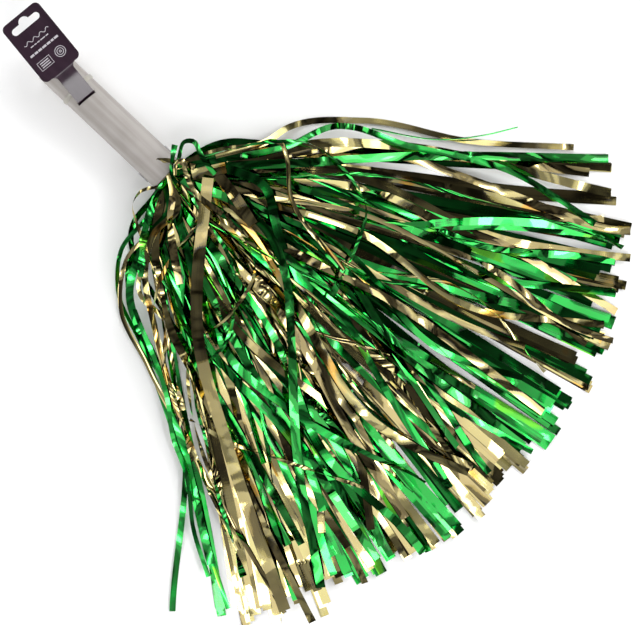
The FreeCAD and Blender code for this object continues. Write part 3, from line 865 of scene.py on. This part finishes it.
def make_tag():
    sheet = bmesh.new()
    edges = []
    for outline in (tag_outline(), hole_outline()):
        corners = [sheet.verts.new((x, y, 0)) for x, y in outline]
        edges += [sheet.edges.new(pair) for pair in zip(corners, corners[1:] + corners[:1])]
    bmesh.ops.triangle_fill(sheet, use_beauty=True, edges=edges)
    fold_step = 2 * MM
    for fold in range(1, int(Tag.END / fold_step)):
        everything = sheet.verts[:] + sheet.edges[:] + sheet.faces[:]
        bmesh.ops.bisect_plane(sheet, geom=everything, plane_co=(fold * fold_step, 0, 0), plane_no=(1, 0, 0))
    bmesh.ops.recalc_face_normals(sheet, faces=sheet.faces)
    top = bmesh.ops.extrude_face_region(sheet, geom=sheet.faces[:])["geom"]
    for item in top:
        if isinstance(item, bmesh.types.BMVert):
            item.co.z += Tag.THICKNESS
    bmesh.ops.recalc_face_normals(sheet, faces=sheet.faces)
    edge_round = 0.12 * MM
    rim = [edge for edge in sheet.edges if edge.calc_face_angle(0) > math.radians(60)]
    bmesh.ops.bevel(sheet, geom=rim, offset=edge_round, segments=2, affect="EDGES", profile=0.5)
    for corner in sheet.verts:
        corner.co.z += tag_height(corner.co.x)
    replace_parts(add_tag_piece("hang_tag_card", sheet, TAG_PLASTIC), "hang_tag")


def stroke(sheet, points, width, closed=False):
    """A band of that width along a line in the tag's plane."""
    line = np.array(points)
    following = np.roll(line, -1, axis=0) - line
    leading = line - np.roll(line, 1, axis=0)
    if not closed:
        following[-1] = leading[-1]
        leading[0] = following[0]
    forward = following / np.linalg.norm(following, axis=1)[:, None]
    forward = forward + leading / np.linalg.norm(leading, axis=1)[:, None]
    forward /= np.linalg.norm(forward, axis=1)[:, None]
    side = np.stack([-forward[:, 1], forward[:, 0]], axis=1) * width / 2
    rows = [[sheet.verts.new((*corner, 0)) for corner in pair] for pair in zip(line + side, line - side)]
    last = len(rows) if closed else len(rows) - 1
    for index in range(last):
        after = rows[(index + 1) % len(rows)]
        sheet.faces.new((rows[index][0], rows[index][1], after[1], after[0]))


def print_bar(sheet, x, y, height, length):
    """A bar across the tag."""
    stroke(sheet, [(x, y - length / 2), (x, y + length / 2)], height)


def print_bar_row(sheet, x, length, height, count):
    """A row of bars of uneven length, in place of a line of words."""
    rng = np.random.default_rng(7 + count)
    shares = rng.uniform(0.6, 1.4, count)
    edges = np.concatenate([[0], np.cumsum(shares / shares.sum())]) * length - length / 2
    gap = 0.8 * MM
    for start, end in zip(edges, edges[1:]):
        print_bar(sheet, x, (start + end) / 2, height, end - start - gap)


def make_print():
    """Plain marks in place of the tag's print: a wave, two rows of bars, a framed block and a ring."""
    sheet = bmesh.new()
    line = 0.55 * MM
    wave_place, wave_size, half_wave_length = 66.7 * MM, 1.2 * MM, 13.5 * MM
    across = np.linspace(-1, 1, 49)
    wave = wave_place + wave_size * np.sin(across * 4 * math.pi)
    stroke(sheet, np.column_stack([wave, across * half_wave_length]), line)
    print_bar_row(sheet, 62.2 * MM, 20 * MM, 0.9 * MM, 5)
    print_bar_row(sheet, 55.8 * MM, 31 * MM, 1.9 * MM, 7)
    lower, mark = 43.9 * MM, 8.2 * MM
    half_height, half_length = 4 * MM, 6.5 * MM
    low_corner = lower - half_height, mark - half_length
    high_corner = lower + half_height, mark + half_length
    corners = [low_corner, (low_corner[0], high_corner[1]), high_corner, (high_corner[0], low_corner[1])]
    stroke(sheet, corners, line, closed=True)
    for offset in (-2, 0, 2):
        print_bar(sheet, lower + offset * MM, mark, 0.9 * MM, 9 * MM)
    for radius in (4.7 * MM, 2.9 * MM, 0.9 * MM):
        stroke(sheet, arc(lower, -mark, radius, 0, 360 - 10, 35), line, closed=True)
    bmesh.ops.recalc_face_normals(sheet, faces=sheet.faces)
    ink = 0.03 * MM
    top = bmesh.ops.extrude_face_region(sheet, geom=sheet.faces[:])["geom"]
    for item in top:
        if isinstance(item, bmesh.types.BMVert):
            item.co.z += 2 * ink
    bmesh.ops.recalc_face_normals(sheet, faces=sheet.faces)
    for corner in sheet.verts:
        corner.co.z += tag_height(corner.co.x) + Tag.THICKNESS - ink
    add_tag_piece("hang_tag_print", sheet, print_ink())


# ---------------------------------------------------------------- floor, lights and camera


CENTRE = Vector((0, 0, 0.02))
# Brightness of the three layers of a softbox, which add up.
OVERHEAD = (0.4, 0.9, 7.0)
RING = (2.6, 3.0, 10.0)


def make_floor():
    """A round pale table top. The world is as pale below the horizon, so its edge doesn't show."""
    mesh = bpy.data.meshes.new("floor")
    reach = 1.15
    corners = [(x, y, 0) for x, y in arc(0, 0, reach, 0, 360 - 5, 71)]
    mesh.from_pydata(corners, [], [range(len(corners))])
    floor = bpy.data.objects.new("floor", mesh)
    material = bpy.data.materials.new("floor_white")
    nodes = Nodes(material)
    nodes.set(Base_Color=(0.96, 0.96, 0.96, 1), Roughness=0.9, Specular_IOR_Level=0.0)
    mesh.materials.append(material)
    SCENE.collection.objects.link(floor)


def make_light(name, towards, distance, wide, high, radiance):
    """A rectangular light that faces the object; wide and high are the angles it fills."""
    light = bpy.data.lights.new(name, "AREA")
    light.shape = "RECTANGLE"
    light.size = 2 * distance * math.tan(wide / 2)
    light.size_y = 2 * distance * math.tan(high / 2)
    light.energy = radiance * math.pi * light.size * light.size_y
    lamp = bpy.data.objects.new(name, light)
    lamp.location = CENTRE + towards * distance
    lamp.rotation_mode = "QUATERNION"
    lamp.rotation_quaternion = towards.to_track_quat("Z", "Y")
    lamp.visible_camera = False
    SCENE.collection.objects.link(lamp)


def make_softboxes():
    """Softboxes that grow brighter towards their middle, placed by azimuth and angle from straight above.

    Each has three layers: a wide one, and two smaller ones in front that add to its brightness.
    """
    layers = (("edge", 1.6, 1.0), ("inner", 1.55, 0.62), ("core", 1.5, 0.26))
    for number, (azimuth, zenith, wide, high, radiances) in enumerate((
        (-50, 17, 38, 18, (0.5, 1.4, 8.0)),
        # The glare on the tag's neck.
        (-39, 3.3, 6, 5, (2.8, 1.0, 1.0)),
        (25, 25, 30, 15, OVERHEAD),
        # The sheen on the long taut strip.
        (67, 23, 16, 9, (0.9, 0.4, 0.6)),
        (105, 31, 32, 17, OVERHEAD),
        (-105, 36, 22, 20, OVERHEAD),
        (-10, 50, 34, 26, RING),
        (65, 56, 34, 26, RING),
        (125, 60, 34, 26, RING),
        (-125, 62, 34, 26, RING),
    )):
        around = math.radians(azimuth)
        down = math.radians(zenith)
        towards = Vector((math.sin(down), 0, math.cos(down)))
        towards.rotate(Matrix.Rotation(around, 3, "Z"))
        for (layer, distance, share), radiance in zip(layers, radiances):
            size = [share * math.radians(x) for x in (wide, high)]
            make_light(f"softbox_{number}_{layer}", towards, distance, *size, radiance)


def make_world():
    """A dim room: dark overhead, with soft patches, and pale at the horizon."""
    SCENE.world = bpy.data.worlds.new("room")
    nodes = Nodes(SCENE.world, "Background")
    direction = nodes.add("ShaderNodeTexCoord").outputs["Generated"]
    height = nodes.add("ShaderNodeSeparateXYZ", {"Vector": direction}).outputs["Z"]
    greys = ((0.0, 1.0), (0.25, 0.7), (0.50, 0.3), (0.75, 0.15), (0.95, 0.10), (0.992, 0.045))
    nodes.set(Color=nodes.ramp(height, [(place, (grey, grey, grey)) for place, grey in greys]))
    noise = nodes.add("ShaderNodeTexNoise", {"Vector": direction, "Scale": 9.0, "Detail": 1.0}).outputs["Fac"]
    spread = {"Value": noise, "From Min": 0.40, "From Max": 0.65, "To Min": 0.2, "To Max": 1.8}
    patches = nodes.add("ShaderNodeMapRange", spread).outputs["Result"]
    only_high_up = {"Value": height, "From Min": 0.35, "From Max": 0.6, "To Min": 1.0, "To Max": patches}
    nodes.set(Strength=nodes.add("ShaderNodeMapRange", only_high_up).outputs["Result"])


def make_camera():
    """Straight above the object, rolled so that the handle points down to the right."""
    camera = bpy.data.cameras.new("camera")
    camera.lens = 180
    camera.sensor_width = 36
    seen_width = 557 * MM
    seen_height = 15 * MM
    middle = Vector((69 * MM, 4.2 * MM))
    handle_slope = math.radians(43.5)
    eye = bpy.data.objects.new("camera", camera)
    height = seen_width * camera.lens / camera.sensor_width + seen_height
    eye.location = (CENTRE.x + middle.x, CENTRE.y + middle.y, height)
    eye.rotation_euler = (0, 0, handle_slope)
    SCENE.collection.objects.link(eye)
    SCENE.camera = eye


SCENE.view_settings.view_transform = "Standard"
make_floor()
make_world()
make_softboxes()
make_camera()
cover_cad_nodes()
make_tag()
make_print()
make_streamers()
